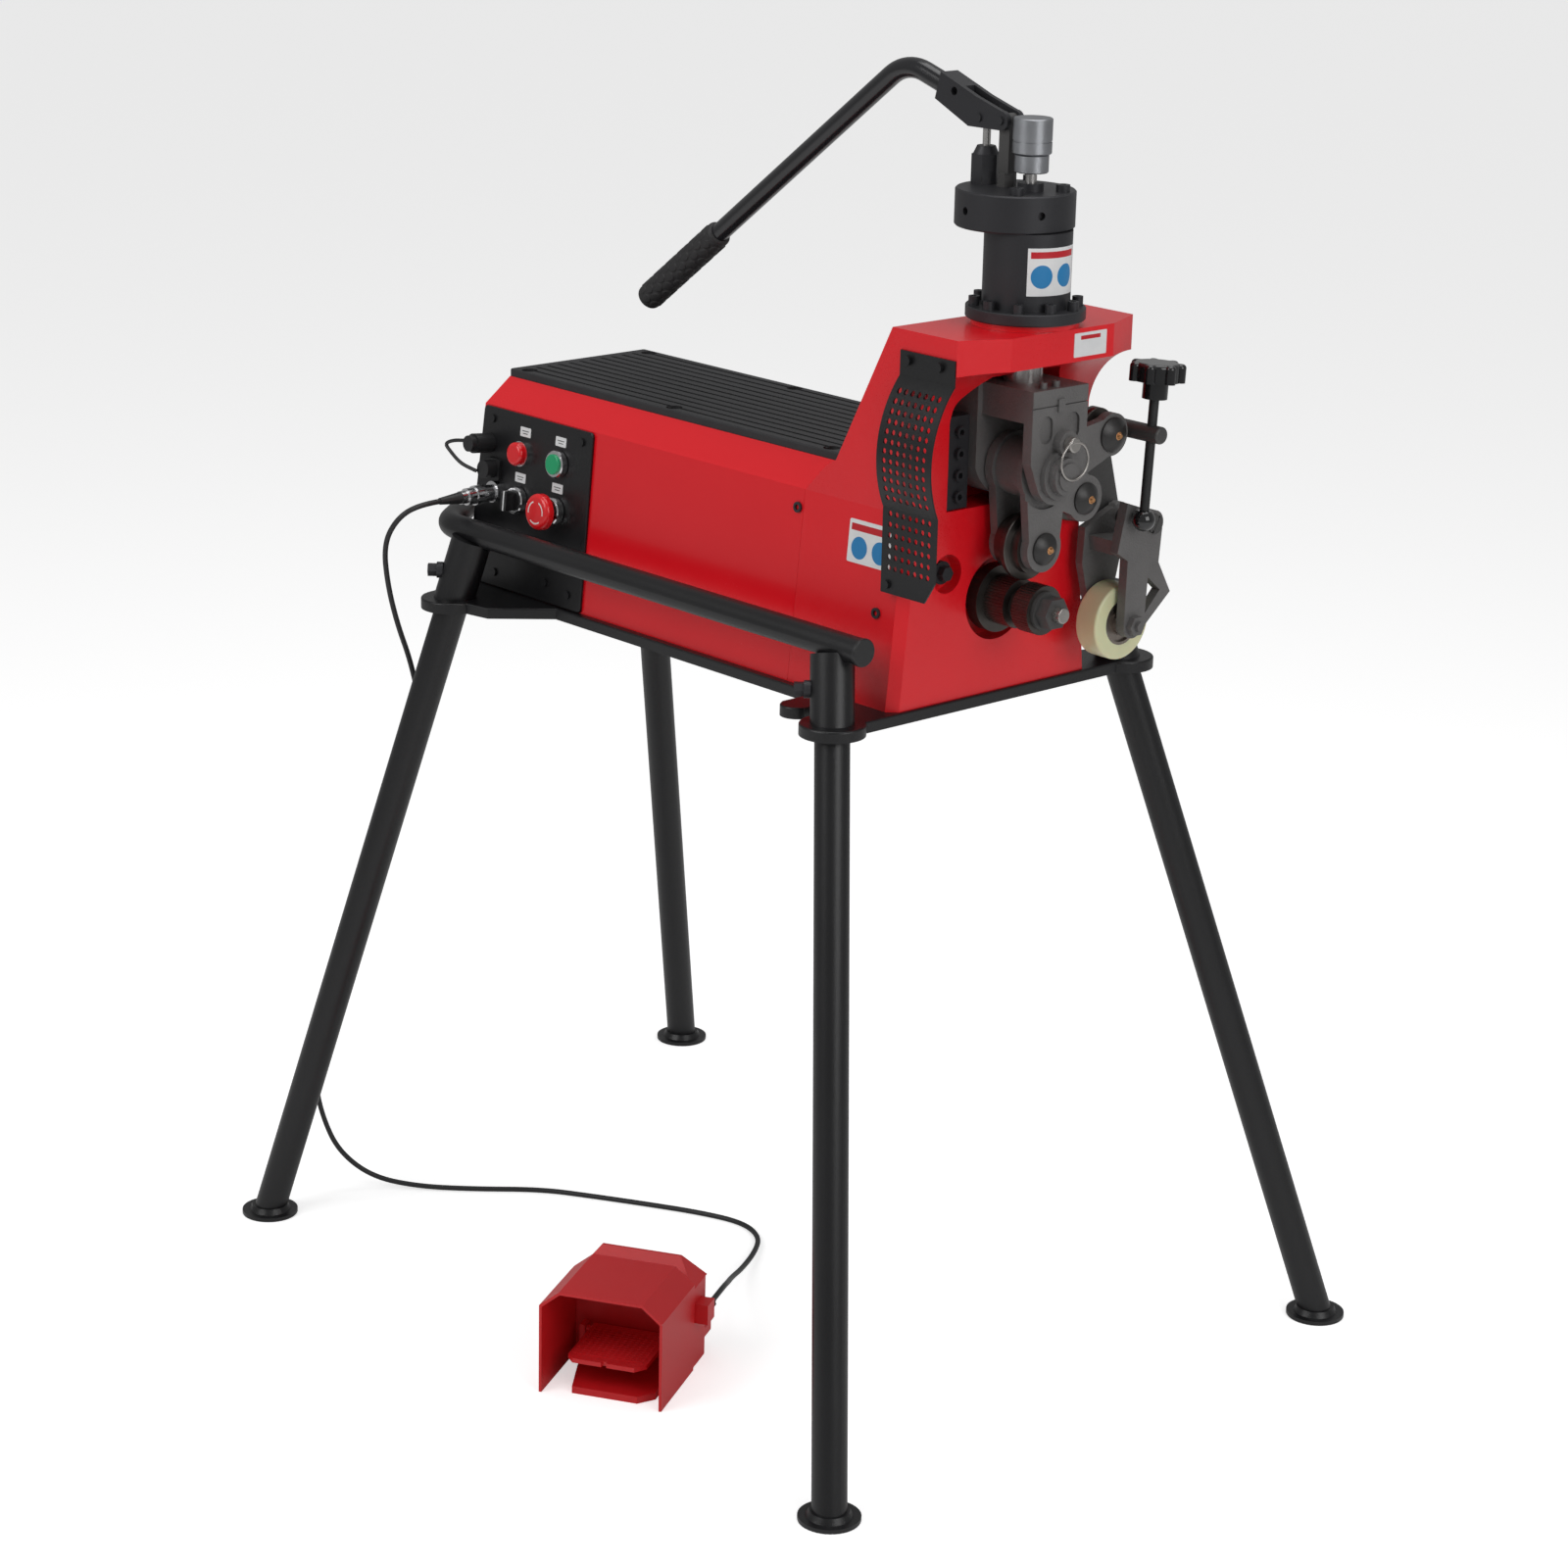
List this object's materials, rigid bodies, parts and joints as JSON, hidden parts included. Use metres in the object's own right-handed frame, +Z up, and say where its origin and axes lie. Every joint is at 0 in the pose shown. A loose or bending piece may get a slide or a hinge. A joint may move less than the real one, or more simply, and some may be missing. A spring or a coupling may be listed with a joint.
{
  "type": "pipe roll grooving machine",
  "caption": "Motor-driven pipe roll groover on splayed tube legs, with a hand-pumped ram, an indexing roll turret, a pipe stabiliser wheel and a foot switch.",
  "frame": {"origin": "on the floor, under the drive roll's axis plane and 0.36 m behind the drive roll's groove", "axes": "+X along the drive roll's axis, out of the front of the head, where the pipe goes; +Z up; +Y to the stabiliser's side"},
  "size_m": [1.148, 0.818, 1.3756],
  "materials": {
    "red_paint": "gloss enamel over a finely textured casting",
    "black_paint": "satin",
    "dark_steel": "oiled dark phosphate",
    "bright_steel": "turned",
    "plated_steel": "bright plated",
    "aluminium": "turned and knurled",
    "black_rubber": "ribbed",
    "grip_rubber": "moulded pattern",
    "cream_urethane": "satin",
    "black_plastic": "glossy",
    "grey_plastic": "fine grain",
    "lamp_lens": "clear red",
    "green_plastic": "glossy",
    "red_plastic": "moulded",
    "blued_steel": "blued",
    "stop_red": "glossy",
    "white_film": "printed white film",
    "cable_jacket": "smooth"
  },
  "bodies": {
    "frame": {"base_plate": "black_paint", "leg_left": "black_paint", "leg_near": "black_paint", "leg_back": "black_paint", "leg_right": "black_paint", "carry_rail": "black_paint", "rail_caps": "black_plastic", "body_screws": "blued_steel", "rear_cover": "red_paint", "top_mat": "black_rubber", "head_casting": "red_paint", "gib_plates": "dark_steel", "control_panel": "black_paint", "bezels": "plated_steel", "pilot_lamp": "lamp_lens", "label_plates": "white_film", "panel_sockets": "grey_plastic", "foot_plug": "grey_plastic", "cable_glands": "grey_plastic", "foot_cable": "cable_jacket", "cable_ties": "black_plastic", "gear_motor": "dark_steel", "drive_bush": "bright_steel", "side_guard": "black_paint", "pump_flange": "dark_steel", "pump_cylinder": "black_paint", "pump_head": "dark_steel", "plunger_gland": "bright_steel", "fulcrum_post": "dark_steel", "stabiliser_bracket": "dark_steel", "pedal_hood": "red_plastic", "pedal_base": "red_plastic"},
    "drive": {"drive_shaft": "bright_steel", "drive_roll": "dark_steel", "drive_nut": "dark_steel"},
    "ram_unit": {"ram": "bright_steel", "yoke": "dark_steel"},
    "depth_stop": {"depth_nut": "aluminium"},
    "stop_lock": {"lock_ring": "dark_steel"},
    "turret_unit": {"turret": "dark_steel", "roll_pins": "black_plastic"},
    "roll_a": {"upper_roll_a": "dark_steel"},
    "roll_b": {"upper_roll_b": "dark_steel"},
    "roll_c": {"upper_roll_c": "dark_steel"},
    "index_unit": {"index_pin": "bright_steel"},
    "pump_lever": {"lever_head": "dark_steel", "handle_tube": "black_paint", "handle_grip": "grip_rubber"},
    "plunger": {"pump_plunger": "bright_steel"},
    "stabiliser_arm": {"swing_arm": "dark_steel"},
    "stabiliser_wheel": {"wheel_tyre": "cream_urethane", "wheel_hub": "bright_steel"},
    "spindle_pad": {"spindle_foot": "black_plastic"},
    "spindle": {"stabiliser_spindle": "bright_steel", "star_knob": "black_plastic"},
    "start": {"start_button": "green_plastic"},
    "switch": {"mode_switch": "black_plastic"},
    "stop": {"stop_stem": "grey_plastic"},
    "stop_head": {"stop_mushroom": "stop_red"},
    "foot_lever": {"treadle": "red_plastic"}
  },
  "joints": [
    {"name": "drive_spin", "type": "hinge", "parent": "frame", "child": "drive", "pos_m": [0.36, 0, 0.846], "axis": [1, 0, 0], "continuous": true},
    {"name": "ram_slide", "type": "slide", "parent": "frame", "child": "ram_unit", "axis": [0, 0, 1], "range_m": [-0.008, 0], "stiffness_N_per_m": 20000, "springref_m": 0.012},
    {"name": "depth_nut_turn", "type": "hinge", "parent": "ram_unit", "child": "depth_stop", "pos_m": [0.35, 0, 1.315], "axis": [0, 0, 1], "continuous": true},
    {"name": "lock_ring_turn", "type": "hinge", "parent": "ram_unit", "child": "stop_lock", "pos_m": [0.35, 0, 1.29], "axis": [0, 0, 1], "continuous": true},
    {"name": "turret_index", "type": "hinge", "parent": "ram_unit", "child": "turret_unit", "pos_m": [0.36, 0, 0.988], "axis": [1, 0, 0], "range_deg": [-58.5, 0]},
    {"name": "roll_a_spin", "type": "hinge", "parent": "turret_unit", "child": "roll_a", "pos_m": [0.36, 0, 0.909], "axis": [1, 0, 0], "continuous": true},
    {"name": "roll_b_spin", "type": "hinge", "parent": "turret_unit", "child": "roll_b", "pos_m": [0.36, 0.057, 0.953], "axis": [1, 0, 0], "continuous": true},
    {"name": "roll_c_spin", "type": "hinge", "parent": "turret_unit", "child": "roll_c", "pos_m": [0.36, 0.093, 1.014], "axis": [1, 0, 0], "continuous": true},
    {"name": "index_pull", "type": "slide", "parent": "ram_unit", "child": "index_unit", "axis": [1, 0, 0], "range_m": [0, 0.008], "stiffness_N_per_m": 400, "springref_m": -0.004},
    {"name": "lever_swing", "type": "hinge", "parent": "frame", "child": "pump_lever", "pos_m": [0.317, 0, 1.328], "axis": [0, 1, 0], "range_deg": [0, 30]},
    {"name": "plunger_slide", "type": "slide", "parent": "frame", "child": "plunger", "axis": [0, 0, 1], "range_m": [0, 0.0156]},
    {"name": "arm_swing", "type": "hinge", "parent": "frame", "child": "stabiliser_arm", "pos_m": [0.36, 0.155, 0.914], "axis": [1, 0, 0], "range_deg": [-8, 8]},
    {"name": "wheel_spin", "type": "hinge", "parent": "stabiliser_arm", "child": "stabiliser_wheel", "pos_m": [0.366, 0.131, 0.81], "axis": [1, 0, 0], "continuous": true},
    {"name": "spindle_feed", "type": "slide", "parent": "frame", "child": "spindle_pad", "axis": [0, 0.0549, 0.9985], "range_m": [-0.0046, 0.0046]},
    {"name": "spindle_turn", "type": "hinge", "parent": "spindle_pad", "child": "spindle", "pos_m": [0.41, 0.12685, 0.984], "axis": [0, 0.0549, 0.9985], "range_deg": [-810, 810]},
    {"name": "start_press", "type": "slide", "parent": "frame", "child": "start", "axis": [0, -0.9955, 0.0948], "range_m": [-0.003, 0], "stiffness_N_per_m": 400, "springref_m": 0.002},
    {"name": "switch_turn", "type": "hinge", "parent": "frame", "child": "switch", "pos_m": [-0.284, -0.1331, 0.85093], "axis": [0, -0.9955, 0.0948], "range_deg": [-45, 45]},
    {"name": "stop_press", "type": "slide", "parent": "frame", "child": "stop", "axis": [0, -0.9955, 0.0948], "range_m": [-0.004, 0], "stiffness_N_per_m": 600, "springref_m": 0.002},
    {"name": "stop_twist", "type": "hinge", "parent": "stop", "child": "stop_head", "pos_m": [-0.219, -0.1331, 0.85093], "axis": [0, -0.9955, 0.0948], "range_deg": [0, 45], "stiffness_Nm_per_rad": 0.05, "springref_deg": -2.86},
    {"name": "treadle_press", "type": "hinge", "parent": "frame", "child": "foot_lever", "pos_m": [0.11973, -0.30301, 0.036], "axis": [0.8634, 0.5045, 0], "range_deg": [0, 8], "stiffness_Nm_per_rad": 4, "springref_deg": -3.44}
  ],
  "couplings": [
    {"joint": "plunger_slide", "follows": "lever_swing", "m_per_rad": 0.029},
    {"joint": "spindle_feed", "follows": "arm_swing", "m_per_rad": -0.032},
    {"joint": "spindle_turn", "follows": "arm_swing", "ratio": -100.5}
  ]
}
